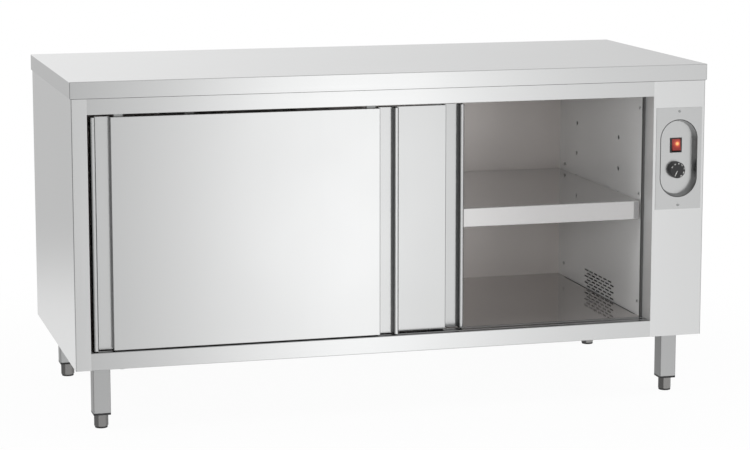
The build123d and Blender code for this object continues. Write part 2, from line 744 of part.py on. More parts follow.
def door_hangers(door):
    """Plates riveted in the door's top slot, each with a fixed axle for a roller."""
    middle = door_middle(door)
    face = middle + HANGER_THICK / 2
    head_y = face + 2 * GEAR_PLAY + FLANGE_WIDTH + ROLLER_WIDTH
    foot_y = around(middle, DOOR_SLOT - 2 * RUNNING_PLAY)
    plate_y = around(middle, HANGER_THICK)
    hangers = []
    for x in hanger_places(door):
        foot = block(around(x, HANGER_WIDTH), foot_y, (DOOR_HIGH - SLOT_DEPTH, DOOR_HIGH))
        plate = block(around(x, HANGER_WIDTH), plate_y, (DOOR_HIGH, AXLE_Z + HANGER_RISE))
        plate = fillet(plate.edges().filter_by(Axis.Y).group_by(Axis.Z)[-1], HANGER_RISE / 2)
        axle = rod((x, face, AXLE_Z), (0, 1, 0), head_y - face, AXLE_RADIUS)
        head = rod((x, head_y, AXLE_Z), (0, 1, 0), AXLE_HEAD, AXLE_HEAD_RADIUS)
        hangers.append(foot + plate + axle + head)
    return group(hangers)


def door_roller(door, side):
    x = hanger_places(door)[0 if side == "left" else 1]
    y = door_middle(door) + HANGER_THICK / 2 + GEAR_PLAY
    flange = rod((x, y, AXLE_Z), (0, 1, 0), FLANGE_WIDTH, FLANGE_RADIUS)
    tread = rod((x, y + FLANGE_WIDTH, AXLE_Z), (0, 1, 0), ROLLER_WIDTH, ROLLER_RADIUS)
    bore = rod((x, y, AXLE_Z), (0, 1, 0), FLANGE_WIDTH + ROLLER_WIDTH, AXLE_RADIUS + RUNNING_PLAY)
    return flange + tread - bore


def door_guides(door):
    """Nylon blocks in the door's bottom slot, with a fin that runs in the rail's groove."""
    middle = door_middle(door)
    root_y = around(middle, DOOR_SLOT - 2 * RUNNING_PLAY)
    fin_low = OPEN_BOTTOM - GROOVE_DEPTH + GUIDE_FLOOR_PLAY
    guides = []
    for x in hanger_places(door):
        root = block(around(x, GUIDE_LENGTH), root_y, (DOOR_LOW, DOOR_LOW + SLOT_DEPTH))
        fin = block(around(x, GUIDE_LENGTH), around(middle, GUIDE_THICK), (fin_low, DOOR_LOW))
        guides.append(root + fin)
    return group(guides)


def track_web_y(door):
    """Front face of the web behind a door's rollers."""
    return door_middle(door) + HANGER_THICK / 2 + 3 * GEAR_PLAY + FLANGE_WIDTH + ROLLER_WIDTH + AXLE_HEAD


def door_track():
    """Double hanging track: a top plate, and for each door a web with a ledge for the rollers."""
    rear_web = track_web_y("rear")
    track = block(TRACK_X, (CEILING_FRONT + SHEET, rear_web + TRACK_SHEET), (CEILING - TRACK_TOP, CEILING))
    for door in DOORS:
        web = track_web_y(door)
        ledge_front = door_middle(door) + HANGER_THICK / 2 + 2 * GEAR_PLAY + FLANGE_WIDTH
        track += block(TRACK_X, (web, web + TRACK_SHEET), (LEDGE - TRACK_SHEET, CEILING - TRACK_TOP))
        track += block(TRACK_X, (ledge_front, web), (LEDGE - TRACK_SHEET, LEDGE))
    return track


def track_stops():
    """Rubber blocks on the ledges that catch the outer rollers at each end of the travel."""
    reach = ROLLER_RADIUS + FIT
    first = OPEN_LEFT + DOOR_END_GAP + HANGER_INSET - reach
    last = OPEN_RIGHT - DOOR_END_GAP - HANGER_INSET + reach
    stops = []
    for door in DOORS:
        web = track_web_y(door)
        y = (web - ROLLER_WIDTH, web)
        z = (LEDGE, LEDGE + STOP_HEIGHT)
        stops.append(block((first - STOP_LENGTH, first), y, z))
        stops.append(block((last, last + STOP_LENGTH), y, z))
    return group(stops)


# ---- controls -------------------------------------------------------------------------------
def control_plate():
    """Pressed plate with a drawn oval recess that holds the switch and the knob."""
    plate = block(around(PANEL_X, PLATE_WIDTH), (PLATE_FRONT, FRONT), around(PLATE_CENTRE, PLATE_HEIGHT))
    floor_back = RECESS_FLOOR + PLATE_SHEET
    wall = 2 * PLATE_SHEET
    outer = FRONT_PLANE.offset(-FRONT) * stadium(RECESS_WIDTH + wall, RECESS_HEIGHT + wall)
    inner = FRONT_PLANE.offset(-PLATE_FRONT) * stadium(RECESS_WIDTH, RECESS_HEIGHT)
    plate += extrude(outer, floor_back - FRONT, dir=(0, 1, 0), taper=RECESS_DRAFT)
    plate -= extrude(inner, RECESS_DEPTH, dir=(0, 1, 0), taper=RECESS_DRAFT)
    cut_y = (RECESS_FLOOR - FIT, floor_back + FIT)
    neck_x, neck_z = switch_neck()
    plate -= block(around(PANEL_X, neck_x + 2 * SWITCH_PLAY), cut_y, around(SWITCH_Z, neck_z + 2 * SWITCH_PLAY))
    plate -= rod((PANEL_X, cut_y[0], KNOB_Z), (0, 1, 0), cut_y[1] - cut_y[0], BUSH_RADIUS + SWITCH_PLAY)
    for z in around(PLATE_CENTRE, PLATE_SCREW_PITCH):
        plate -= rod((PANEL_X, PLATE_FRONT - FIT, z), (0, 1, 0), PLATE_SHEET + 2 * FIT, SCREW_HOLE / 2)
    return plate


def control_plate_screws():
    screws = []
    for z in around(PLATE_CENTRE, PLATE_SCREW_PITCH):
        place = ((PANEL_X, PLATE_FRONT, z), (0, 1, 0))
        screws.append(pan_screw(*place, PLATE_SCREW_HEAD, PLATE_SCREW_HEAD_HIGH, SCREW_SHANK, PLATE_SHEET))
    return group(screws)


def switch_neck():
    return (BEZEL_WIDTH - 2 * SWITCH_NECK, BEZEL_HEIGHT - SWITCH_NECK)


def switch_body():
    neck_x, neck_z = switch_neck()
    front = RECESS_FLOOR - BEZEL_THICK
    bezel = block(around(PANEL_X, BEZEL_WIDTH), (front, RECESS_FLOOR), around(SWITCH_Z, BEZEL_HEIGHT))
    bezel = fillet(bezel.faces().sort_by(Axis.Y)[0].edges(), BEZEL_THICK / 3)
    back = RECESS_FLOOR + SWITCH_DEPTH
    body = block(around(PANEL_X, neck_x), (RECESS_FLOOR, back), around(SWITCH_Z, neck_z))
    mouth_x = BEZEL_WIDTH - 2 * BEZEL_RIM_X
    mouth_z = BEZEL_HEIGHT - 2 * BEZEL_RIM_Z
    pocket = block(around(PANEL_X, mouth_x), (front - FIT, back - SWITCH_WALL), around(SWITCH_Z, mouth_z))
    pivot = rod((PANEL_X - neck_x / 2, ROCKER_Y, SWITCH_Z), (1, 0, 0), neck_x, ROCKER_PIN + RUNNING_PLAY)
    return bezel + body - pocket - pivot


def switch_rocker():
    """Lit rocker in its on position, with the top end pressed in."""
    half = ROCKER_HEIGHT / 2
    outline = [
        (-ROCKER_RISE, half), (ROCKER_DISH - ROCKER_RISE, 0), (-ROCKER_RISE, -half), (0, -half),
        (ROCKER_BACK, -ROCKER_BACK), (ROCKER_BACK, ROCKER_BACK), (0, half),
    ]
    body = along_x(make_face(Polyline(*outline, close=True)), around(0, ROCKER_WIDTH))
    body += rod((-ROCKER_PIN_REACH, 0, 0), (1, 0, 0), 2 * ROCKER_PIN_REACH, ROCKER_PIN)
    return Pos(PANEL_X, ROCKER_Y, SWITCH_Z) * Rot(-ROCKER_TILT, 0, 0) * body


def thermostat_knob():
    back = RECESS_FLOOR - KNOB_GAP
    base = FRONT_PLANE.offset(-back) * Pos(PANEL_X, KNOB_Z) * Circle(KNOB_RADIUS)
    knob = extrude(base, KNOB_HEIGHT, dir=(0, -1, 0), taper=KNOB_TAPER)
    knob = fillet(knob.faces().sort_by(Axis.Y)[0].edges(), KNOB_EDGE)
    knob -= rod((PANEL_X, back, KNOB_Z), (0, -1, 0), KNOB_POCKET, KNOB_POCKET_RADIUS)
    return knob - rod((PANEL_X, back, KNOB_Z), (0, -1, 0), SPINDLE_GRIP, SPINDLE_RADIUS)


def thermostat_spindle():
    front = RECESS_FLOOR - KNOB_GAP - SPINDLE_GRIP
    back = RECESS_FLOOR + PLATE_SHEET + THERMOSTAT_DEPTH / 2
    return rod((PANEL_X, front, KNOB_Z), (0, 1, 0), back - front, SPINDLE_RADIUS)


def thermostat_body():
    """Thermostat behind the plate, with its threaded bush, capillary and bulb."""
    front = RECESS_FLOOR + PLATE_SHEET
    back = front + THERMOSTAT_DEPTH
    size = THERMOSTAT_SIZE
    body = block(around(PANEL_X, size), (front, back), around(KNOB_Z, size))
    body = fillet(body.edges().filter_by(Axis.Y), THERMOSTAT_CORNER)
    body += rod((PANEL_X, front, KNOB_Z), (0, -1, 0), BUSH_LENGTH, BUSH_RADIUS)
    bore_start = front - BUSH_LENGTH
    bore_length = THERMOSTAT_DEPTH / 2 + BUSH_LENGTH + FIT
    body -= rod((PANEL_X, bore_start, KNOB_Z), (0, 1, 0), bore_length, SPINDLE_RADIUS + RUNNING_PLAY)
    bulb_z = DUCT_Z[1] + BULB_RADIUS
    exit_x = PANEL_X - size / 4
    bulb_y = back + 2 * CAPILLARY_RUN
    route = [
        (exit_x, back, KNOB_Z), (exit_x, back + CAPILLARY_RUN, KNOB_Z),
        (exit_x, back + CAPILLARY_RUN, bulb_z), (exit_x, bulb_y, bulb_z),
    ]
    capillary = tube_through(route, CAPILLARY_RADIUS, CAPILLARY_BEND)
    bulb = rod((exit_x, bulb_y, bulb_z), (0, 1, 0), BULB_LENGTH, BULB_RADIUS)
    return body + capillary + bulb


# ---- warm air -------------------------------------------------------------------------------
def heater_levels():
    first = DUCT_Z[0] + HEATER_LIFT
    return [first + index * HEATER_PITCH for index in range(HEATER_PASSES)]


def air_duct():
    """Sheet box over the back of the grille, open to the inner wall."""
    x = (DUCT_X, DUCT_X + DUCT_DEPTH)
    y = around(0, DUCT_LENGTH)
    box = block(x, y, DUCT_Z)
    box -= block(
        (x[0] - FIT, x[1] - SHEET), (y[0] + SHEET, y[1] - SHEET), (DUCT_Z[0] + SHEET, DUCT_Z[1] - SHEET))
    levels = heater_levels()
    for z in (levels[0], levels[-1]):
        box -= rod((HEATER_X, y[0] - FIT, z), (0, 1, 0), SHEET + 2 * FIT, HEATER_RADIUS + FIT)
    return box


def heater_element():
    """Tubular element bent into parallel passes, both ends out of the duct's front."""
    levels = heater_levels()
    tail = -DUCT_LENGTH / 2 - HEATER_TAIL
    near = HEATER_END - DUCT_LENGTH / 2
    far = DUCT_LENGTH / 2 - HEATER_END
    points = [(HEATER_X, tail, levels[0])]
    for index, z in enumerate(levels):
        turn = far if index % 2 == 0 else near
        if index > 0:
            points.append((HEATER_X, far if index % 2 else near, z))
        if index < len(levels) - 1:
            points.append((HEATER_X, turn, z))
    points.append((HEATER_X, tail, levels[-1]))
    return tube_through(points, HEATER_RADIUS, HEATER_BEND)


def fan_frame():
    x = (FAN_X, FAN_X + FAN_DEPTH)
    y = around(GRILLE_CENTRE, FAN_SIZE)
    z = around(FAN_Z, FAN_SIZE)
    frame_body = block(x, y, z)
    frame_body = fillet(frame_body.edges().filter_by(Axis.X), FAN_CORNER)
    frame_body -= rod((x[0] - FIT, GRILLE_CENTRE, FAN_Z), (1, 0, 0), FAN_DEPTH + 2 * FIT, FAN_BORE / 2)
    back = (x[1] - FAN_STRUT, x[1])
    for angle in (45, 135):
        bar = block(back, around(0, FAN_BORE + FAN_STRUT), around(0, FAN_STRUT))
        frame_body += Pos(0, GRILLE_CENTRE, FAN_Z) * Rot(angle, 0, 0) * bar
    hub_start = (x[1] - FAN_HUB_LENGTH, GRILLE_CENTRE, FAN_Z)
    frame_body += rod(hub_start, (1, 0, 0), FAN_HUB_LENGTH, FAN_HUB / 2)
    return frame_body - rod(hub_start, (1, 0, 0), FAN_HUB_LENGTH - SHEET, FAN_SHAFT + RUNNING_PLAY)


def fan_rotor():
    start = FAN_X + FAN_DEPTH - FAN_HUB_LENGTH - SHEET - ROTOR_LENGTH
    rotor = rod((start, 0, 0), (1, 0, 0), ROTOR_LENGTH, FAN_HUB / 2)
    rotor += rod((start + ROTOR_LENGTH, 0, 0), (1, 0, 0), FAN_HUB_LENGTH - SHEET, FAN_SHAFT)
    tip = FAN_BORE / 2 - FAN_TIP_PLAY
    root = FAN_HUB / 2 - FAN_BLADE_ROOT
    for index in range(FAN_BLADES):
        blade = block(around(0, FAN_BLADE_CHORD), around(0, FAN_BLADE_THICK), (root, tip))
        blade = Pos(start + ROTOR_LENGTH / 2, 0, 0) * Rot(0, 0, FAN_BLADE_PITCH) * blade
        rotor += Rot(360 / FAN_BLADES * index, 0, 0) * blade
    return Pos(0, GRILLE_CENTRE, FAN_Z) * rotor


# ---- wiring and mains entry -----------------------------------------------------------------
def terminal_block():
    size_x, size_y, size_z = TERMINAL
    return block(around(GLAND_X, size_x), around(TERMINAL_Y, size_y), (BASE_TOP, BASE_TOP + size_z))


def wiring_harness():
    """Feed from the gland's inside to the terminal block, and a loom from there to the switch."""
    size_y, size_z = TERMINAL[1:]
    gland_top = BASE_TOP + GLAND_NUT_HIGH
    block_top = BASE_TOP + size_z
    arch = block_top + 2 * WIRE_BEND
    feed_y = TERMINAL_Y + size_y / 4
    feed = tube_through(
        [(GLAND_X, GLAND_Y, gland_top), (GLAND_X, GLAND_Y, arch),
         (GLAND_X, feed_y, arch), (GLAND_X, feed_y, block_top)],
        WIRE_RADIUS, WIRE_BEND)
    switch_back = RECESS_FLOOR + SWITCH_DEPTH
    loom_y = switch_back + 3 * WIRE_BEND
    loom_z = block_top - size_z / 4
    loom = tube_through(
        [(GLAND_X, TERMINAL_Y - size_y / 2, loom_z), (GLAND_X, loom_y, loom_z), (GLAND_X, loom_y, SWITCH_Z),
         (PANEL_X, loom_y, SWITCH_Z), (PANEL_X, switch_back, SWITCH_Z)],
        WIRE_RADIUS, WIRE_BEND)
    return group([feed, loom])


def cable_gland():
    """Screwed gland in the base under the control box, pointing down."""
    axis = (GLAND_X, GLAND_Y)
    under = BASE_UNDER - GLAND_FLANGE_HIGH
    gland = rod((*axis, BASE_UNDER), (0, 0, 1), SHEET + GLAND_NUT_HIGH, GLAND_THREAD)
    gland += hexagon_bar((*axis, under), GLAND_FLANGE_HIGH, 2 * GLAND_FLANGE)
    gland += hexagon_bar((*axis, BASE_TOP), GLAND_NUT_HIGH, 2 * GLAND_FLANGE)
    dome = rod((*axis, under), (0, 0, -1), GLAND_DOME_HIGH, GLAND_DOME)
    dome = fillet(dome.faces().sort_by(Axis.Z)[0].edges(), GLAND_DOME_EDGE)
    bore_length = GLAND_NUT_HIGH + SHEET + GLAND_FLANGE_HIGH + GLAND_DOME_HIGH
    return gland + dome - rod((*axis, BASE_TOP + GLAND_NUT_HIGH), (0, 0, -1), bore_length, GLAND_BORE)


# ---- legs and feet --------------------------------------------------------------------------
def square_tube(x, y, z):
    outer = Pos(x, y, z[0]) * extrude(RectangleRounded(LEG, LEG, LEG_CORNER), z[1] - z[0])
    inner_side = LEG - 2 * LEG_WALL
    return outer - Pos(x, y, z[0]) * extrude(Rectangle(inner_side, inner_side), z[1] - z[0])


def legs():
    """Square tubes, each welded to a plate that is bolted under the base."""
    plate_z = (BASE_UNDER - LEG_PLATE_THICK, BASE_UNDER)
    tubes = []
    for x, y in LEG_PLACES.values():
        plate = block(around(leg_plate_centre(x), LEG_PLATE), around(y, LEG_PLATE), plate_z)
        for bolt_x, bolt_y in bolts_around(x, y):
            plate -= rod((bolt_x, bolt_y, plate_z[0]), (0, 0, 1), LEG_PLATE_THICK, BOLT_HOLE)
        tubes.append(plate + square_tube(x, y, (LEG_BOTTOM, plate_z[0])))
    return group(tubes)


def leg_bolts():
    under = BASE_UNDER - LEG_PLATE_THICK
    pieces = []
    for x, y in leg_bolt_places():
        bolt = hexagon_bar((x, y, under - BOLT_HEAD), BOLT_HEAD, BOLT_ACROSS)
        bolt += rod((x, y, under), (0, 0, 1), BOLT_LENGTH, BOLT_RADIUS)
        bolt += hexagon_bar((x, y, BASE_TOP), NUT_HIGH, BOLT_ACROSS)
        pieces.append(bolt)
    return group(pieces)


def leg_plugs():
    """Plastic plugs in the tube ends, each with the thread for a foot."""
    plugs = []
    insert_side = LEG - 2 * LEG_WALL - 2 * PLUG_PLAY
    for x, y in LEG_PLACES.values():
        cap = Pos(x, y, LEG_BOTTOM - PLUG_CAP) * extrude(RectangleRounded(LEG, LEG, LEG_CORNER), PLUG_CAP)
        insert = block(around(x, insert_side), around(y, insert_side), (LEG_BOTTOM, LEG_BOTTOM + PLUG_INSERT))
        thread = rod((x, y, 0), (0, 0, 1), LEG_BOTTOM + 2 * PLUG_INSERT, STUD_RADIUS + STUD_PLAY)
        plugs.append(cap + insert - thread)
    return group(plugs)


def levelling_foot(place):
    x, y = LEG_PLACES[place]
    pad = rod((x, y, 0), (0, 0, 1), FOOT_PAD_HIGH, FOOT_PAD_RADIUS)
    pad = fillet(pad.faces().sort_by(Axis.Z)[0].edges(), FOOT_PAD_HIGH / 4)
    foot = pad + hexagon_bar((x, y, FOOT_PAD_HIGH), FOOT_TOP - FOOT_PAD_HIGH, FOOT_ACROSS)
    return foot + rod((x, y, FOOT_TOP), (0, 0, 1), STUD_LENGTH, STUD_RADIUS)


# ---- all nodes ------------------------------------------------------------------------------
def all_nodes():
    whole = [
        worktop_skin, worktop_board, left_side_outer, right_side_outer, back_outer, top_rail, bottom_rail,
        base_panel, left_side_inner, right_side_inner, back_inner, floor_panel, ceiling_panel,
        insulation_slabs, jamb_seals, wall_screws, shelf_panel, shelf_stiffener, shelf_supports,
        door_track, track_stops, control_plate, control_plate_screws, switch_body, switch_rocker,
        thermostat_knob, thermostat_spindle, thermostat_body, air_duct, heater_element, fan_frame,
        fan_rotor, terminal_block, wiring_harness, cable_gland, legs, leg_bolts, leg_plugs,
    ]
    nodes = {maker.__name__: maker() for maker in whole}
    for door in DOORS:
        nodes[f"{door}_door_outer_skin"] = door_outer_skin(door)
        nodes[f"{door}_door_inner_skin"] = door_inner_skin(door)
        nodes[f"{door}_door_core"] = door_core(door)
        nodes[f"{door}_door_hangers"] = door_hangers(door)
        nodes[f"{door}_door_guides"] = door_guides(door)
        for side in ("left", "right"):
            nodes[f"{door}_door_{side}_handle"] = door_handle(door, side)
            nodes[f"{door}_door_{side}_roller"] = door_roller(door, side)
    for place in LEG_PLACES:
        nodes[f"foot_{place}"] = levelling_foot(place)
    return nodes


def main():
    os.makedirs("parts", exist_ok=True)
    for name, shape in all_nodes().items():
        export_step(shape, f"parts/{name}.step")


if __name__ == "__main__":
    main()
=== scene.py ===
"""Finishes, fine detail, studio light and camera of the plate warmer cabinet. Metres, Z up."""
import math

import bpy
from mathutils import Matrix, Vector


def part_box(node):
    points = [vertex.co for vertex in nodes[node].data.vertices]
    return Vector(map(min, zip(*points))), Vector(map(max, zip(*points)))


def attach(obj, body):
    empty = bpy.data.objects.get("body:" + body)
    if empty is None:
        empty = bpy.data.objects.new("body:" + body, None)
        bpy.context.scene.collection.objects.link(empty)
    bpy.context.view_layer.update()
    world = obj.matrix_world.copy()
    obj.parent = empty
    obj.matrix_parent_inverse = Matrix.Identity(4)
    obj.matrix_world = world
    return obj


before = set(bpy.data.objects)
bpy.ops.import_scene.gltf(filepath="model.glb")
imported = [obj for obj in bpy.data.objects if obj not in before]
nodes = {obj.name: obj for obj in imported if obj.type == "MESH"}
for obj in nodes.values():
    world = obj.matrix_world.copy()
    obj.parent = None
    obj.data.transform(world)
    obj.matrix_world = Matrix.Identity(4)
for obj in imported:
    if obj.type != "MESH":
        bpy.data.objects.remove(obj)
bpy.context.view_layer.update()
scene = bpy.context.scene

# ---- camera ---------------------------------------------------------------------------------
# A long lens on a stand at chest height, a good six metres off and to the left of the cabinet,
# turned towards it and tipped a little down.
LENS = 113.70
SENSOR = 36.0
CAMERA_PLACE = (-1.5760, -5.8177, 1.4405)
CAMERA_YAW = math.radians(15.47)
CAMERA_PITCH = math.radians(8.75)
LENS_RISE = -0.05

camera = bpy.data.objects.new("camera", bpy.data.cameras.new("camera"))
scene.collection.objects.link(camera)
camera.location = CAMERA_PLACE
camera.rotation_euler = (math.radians(90) - CAMERA_PITCH, 0, -CAMERA_YAW)
camera.data.lens = LENS
camera.data.sensor_width = SENSOR
camera.data.shift_y = LENS_RISE
scene.camera = camera


# ---- studio: floor, room and lamps ----------------------------------------------------------
# A white paper floor in a pale room. The steel takes its shading from the room, bright ahead and
# overhead and greyer to the left. Four large softboxes light only what is dull.
class Wire:
    """An output of a shader node. Sums, differences and products of wires add Math nodes."""

    def __init__(self, tree, socket=None):
        self.tree = tree
        self.socket = socket

    def add(self, kind, settings=None, inputs=None, output=0):
        """Adds a node of a kind, sets it up, fills or links its inputs and gives one of its outputs."""
        made = self.tree.nodes.new(kind)
        for name, value in (settings or {}).items():
            if name == "stops":
                set_stops(made.color_ramp, value)
            else:
                setattr(made, name, value)
        for name, value in (inputs or {}).items():
            if isinstance(value, Wire):
                self.tree.links.new(value.socket, made.inputs[name])
            else:
                made.inputs[name].default_value = value
        return Wire(self.tree, made.outputs[output]) if made.outputs else None

    def sum_of(self, operation, first, second):
        return self.add("ShaderNodeMath", {"operation": operation}, {0: first, 1: second})

    def __add__(self, other):
        return self.sum_of("ADD", self, other)

    def __radd__(self, other):
        return self.sum_of("ADD", other, self)

    def __sub__(self, other):
        return self.sum_of("SUBTRACT", self, other)

    def __rsub__(self, other):
        return self.sum_of("SUBTRACT", other, self)

    def __mul__(self, other):
        return self.sum_of("MULTIPLY", self, other)

    def __rmul__(self, other):
        return self.sum_of("MULTIPLY", other, self)


def set_stops(ramp, stops):
    """Gives a colour ramp its stops: (place, colour) from low to high."""
    while len(ramp.elements) < len(stops):
        ramp.elements.new(1.0)
    for element, (place, colour) in zip(ramp.elements, stops):
        element.position = place
        element.color = (*colour, 1.0)


def new_material(name):
    material = bpy.data.materials.new(name)
    material.use_nodes = True
    material.node_tree.nodes.clear()
    return material, Wire(material.node_tree)


def show(start, shader):
    start.add("ShaderNodeOutputMaterial", {}, {"Surface": shader})


FLOOR_SIDE = 24.0
FLOOR_COLOUR = (0.93, 0.93, 0.93, 1.0)
FLOOR_ROUGHNESS = 0.9
PAPER_WHITE = (1.0, 1.0, 1.0, 1.0)
GLOW_NEAR = 0.95           # how far the paper is washed out to white under the cabinet
GLOW_START = 0.8           # distance from the middle at which it starts to whiten further
GLOW_END = 1.8             # beyond this distance it is pure white
FLOOR_GAP = 0.0002

half = FLOOR_SIDE / 2
floor_mesh = bpy.data.meshes.new("studio_floor")
corners = [(x * half, y * half, -FLOOR_GAP) for x, y in ((-1, -1), (1, -1), (1, 1), (-1, 1))]
floor_mesh.from_pydata(corners, [], [(0, 1, 2, 3)])
floor = bpy.data.objects.new("studio_floor", floor_mesh)
scene.collection.objects.link(floor)

paper, start = new_material("paper floor")
camera_ray = start.add("ShaderNodeLightPath", output="Is Camera Ray")
glossy_ray = start.add("ShaderNodeLightPath", output="Is Glossy Ray")
place = start.add("ShaderNodeTexCoord", output="Object")
distance = start.add("ShaderNodeVectorMath", {"operation": "LENGTH"}, {0: place}, output="Value")
wash = start.add(
    "ShaderNodeMapRange", {"interpolation_type": "SMOOTHSTEP"},
    {"Value": distance, "From Min": GLOW_START, "From Max": GLOW_END, "To Min": GLOW_NEAR, "To Max": 1.0})
lit = start.add(
    "ShaderNodeBsdfPrincipled", {}, {"Base Color": FLOOR_COLOUR, "Roughness": FLOOR_ROUGHNESS})
glow = start.add("ShaderNodeEmission", {}, {"Color": PAPER_WHITE, "Strength": 1.0})
seen = start.add("ShaderNodeMixShader", {}, {0: camera_ray * wash, 1: lit, 2: glow})
passed = start.add("ShaderNodeBsdfTransparent")
show(start, start.add("ShaderNodeMixShader", {}, {0: glossy_ray, 1: seen, 2: passed}))
floor_mesh.materials.append(paper)

# Radiance of the room by compass bearing, in degrees from straight ahead of the doors towards
# the right: low on its walls, in a band just under eye level, and above it.
DEEP_BEARINGS = (
    (-180, 0.80), (-165, 0.80), (-130, 0.65), (-60, 0.60), (-10, 0.55), (8, 0.52), (10, 0.66),
    (12.5, 1.00), (14.5, 1.34), (16.5, 1.15), (19, 0.80), (24, 0.74), (50, 0.60), (130, 0.65), (180, 0.85))
LOW_BEARINGS = (
    (-180, 0.54), (-168, 0.56), (-150, 0.38), (-110, 0.16), (-45, 0.16), (-28, 0.18), (-8, 0.28),
    (0, 0.40), (7.5, 0.50), (10, 0.68), (12.5, 1.19), (14.5, 1.72), (16.5, 1.48), (19, 0.84),
    (21.5, 0.77), (24, 0.78), (30, 0.46), (50, 0.25), (100, 0.25), (150, 0.40), (180, 0.52))
HIGH_BEARINGS = (
    (-180, 0.96), (-140, 0.80), (-90, 0.45), (60, 0.38), (120, 0.48), (157, 0.68), (172, 0.90), (180, 0.96))
FLOOR_LEVEL = (0.80, 0.80, 0.80, 1.0)
CEILING_LEVEL = (0.60, 0.60, 0.60, 1.0)
PLAIN_LEVEL = (0.48, 0.48, 0.48, 1.0)   # what dull surfaces get from every side
# Heights at which one band turns into the next, as the sine of the angle over the horizon. The
# lifts raise two of them behind the cabinet.
FLOOR_BAND = (-0.60, -0.45)
DEEP_BAND = (-0.24, -0.20)
UNDER_BAND = (-0.105, -0.07)
DEEP_LIFT = 0.035
UNDER_LIFT = 0.012
HORIZON_BAND = (-0.01, 0.06)
CEILING_BAND = (0.30, 0.55)


def bearing_stops(bearings):
    return [(bearing / 360 + 0.5, (level,) * 3) for bearing, level in bearings]


world = bpy.data.worlds.new("pale room")
world.use_nodes = True
world.node_tree.nodes.clear()
scene.world = world
start = Wire(world.node_tree)
camera_ray, glossy_ray, clear_ray = (
    start.add("ShaderNodeLightPath", output=f"Is {kind} Ray")
    for kind in ("Camera", "Glossy", "Transmission"))
way = start.add("ShaderNodeTexCoord", output="Generated")
across, ahead, height = (
    start.add("ShaderNodeSeparateXYZ", {}, {0: way}, output=axis) for axis in range(3))
bearing = start.sum_of("ARCTAN2", across, ahead * -1.0) * (1 / math.tau) + 0.5


def rising(band, lift=0.0):
    """0 below a band of heights, 1 above it. The band lies higher by the lift behind the cabinet."""
    lowered = height - start.sum_of("MAXIMUM", ahead, 0.0) * lift
    return start.add(
        "ShaderNodeMapRange", {"interpolation_type": "SMOOTHSTEP"},
        {"Value": lowered, "From Min": band[0], "From Max": band[1]})


def blend(factor, first, second):
    return start.add("ShaderNodeMix", {"data_type": "RGBA"}, {0: factor, 6: first, 7: second}, output=2)


deep, low, high = (
    start.add("ShaderNodeValToRGB", {"stops": bearing_stops(bearings)}, {0: bearing})
    for bearings in (DEEP_BEARINGS, LOW_BEARINGS, HIGH_BEARINGS))
room = blend(rising(FLOOR_BAND), FLOOR_LEVEL, deep)
room = blend(rising(DEEP_BAND, DEEP_LIFT) - rising(UNDER_BAND, UNDER_LIFT), room, low)
room = blend(rising(HORIZON_BAND), room, high)
room = blend(rising(CEILING_BAND), room, CEILING_LEVEL)
surround = blend(glossy_ray, PLAIN_LEVEL, room)
room_light = start.add("ShaderNodeBackground", {}, {"Color": surround, "Strength": 1.0})
backdrop = start.add("ShaderNodeBackground", {}, {"Color": PAPER_WHITE, "Strength": 1.0})
straight = start.sum_of("MAXIMUM", camera_ray, clear_ray)
sky = start.add("ShaderNodeMixShader", {}, {0: straight, 1: room_light, 2: backdrop})
start.add("ShaderNodeOutputWorld", {}, {"Surface": sky})


def soft_lamp(name, place, target, size, watts):
    """A square softbox at a place, facing a target. Neither the camera nor the steel sees it."""
    light = bpy.data.lights.new(name, "AREA")
    light.shape = "SQUARE"
    light.size = size
    light.energy = watts
    lamp = bpy.data.objects.new(name, light)
    lamp.location = place
    lamp.rotation_euler = (Vector(target) - Vector(place)).to_track_quat("-Z", "Y").to_euler()
    lamp.visible_glossy = False
    lamp.visible_camera = False
    scene.collection.objects.link(lamp)


LAMP_TARGET = (0.0, 0.0, 0.5)
KEY_TARGET = (0.3, 0.0, 0.5)
FRONT_LAMP = 1.6           # side of a softbox ahead of the cabinet
SIDE_LAMP = 2.5
KEY_WATTS = 64
FILL_WATTS = 45
SIDE_WATTS = 42
soft_lamp("key softbox", (-2.6, -4.4, 1.0), KEY_TARGET, FRONT_LAMP, KEY_WATTS)
soft_lamp("fill softbox", (1.6, -4.8, 1.0), LAMP_TARGET, FRONT_LAMP, FILL_WATTS)
soft_lamp("left softbox", (-3.2, -0.6, 3.0), LAMP_TARGET, SIDE_LAMP, SIDE_WATTS)
soft_lamp("right softbox", (3.2, -0.6, 3.0), LAMP_TARGET, SIDE_LAMP, SIDE_WATTS)

scene.view_settings.view_transform = "Standard"


def dress(material, *names):
    """Gives CAD pieces a finish."""
    for name in names:
        for slot in nodes[name].material_slots:
            slot.material = material


# ---- worktop --------------------------------------------------------------------------------
# One sheet of 1.2 mm satin stainless steel, folded down 40 mm all round with its corners welded
# and ground, glued over an 18 mm board. The belt grain runs along its length.
SATIN_COLOUR = (0.76, 0.765, 0.765)
SATIN_ROUGHNESS = 0.17
FINE_ROUGHNESS = 0.15      # of the worktop and the rails
STREAK_WIDTH = 0.004
STREAK_LENGTH = 0.7
GRAIN_WIDTH = 0.0004
GRAIN_LENGTH = 0.05
GRAIN_DEPTH = 0.000003
CLOUD_SIZE = 0.35
STREAK_SHADE = 0.985       # share of the colour left in the darkest streaks
STREAK_ROUGHNESS = 0.02
CLOUD_ROUGHNESS = 0.04


